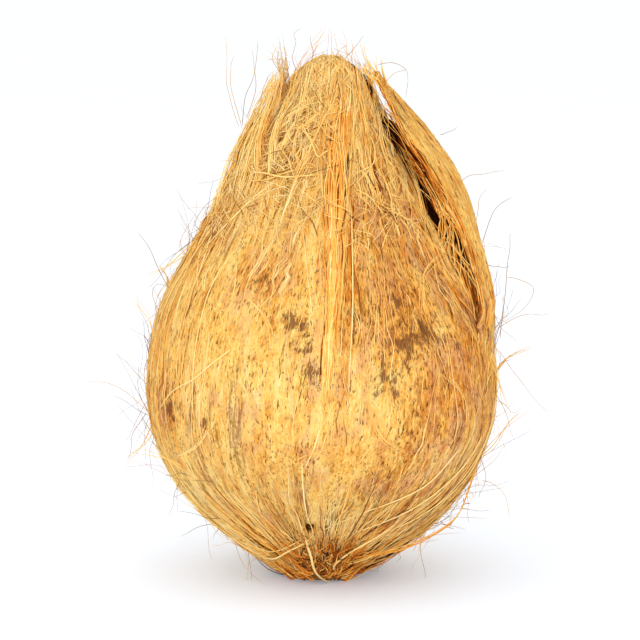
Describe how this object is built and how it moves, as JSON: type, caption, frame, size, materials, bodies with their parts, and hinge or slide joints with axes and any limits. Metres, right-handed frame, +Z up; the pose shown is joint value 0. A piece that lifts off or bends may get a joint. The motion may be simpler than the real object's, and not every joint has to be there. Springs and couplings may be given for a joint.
{
  "type": "partly husked coconut",
  "caption": "Partly husked brown coconut: a pear-shaped fibrous husk with a shaggy stem end, a split-away tongue of husk down one side and loose coir, standing on its heavy end.",
  "frame": {"origin": "middle of the small flat spot under the heavy end, on the surface that the coconut stands on", "axes": "+Z up from the flat spot to the shaggy stem end; -Y is the front, with the raised seam; +X is the side with the split and the tongue of husk"},
  "size_m": [0.1318, 0.1304, 0.1711],
  "materials": {
    "husk": "dry matt straw-golden coir fibre with brown tints, dark brown inside the split"
  },
  "bodies": {
    "root": {"coconut": "husk"}
  },
  "joints": []
}
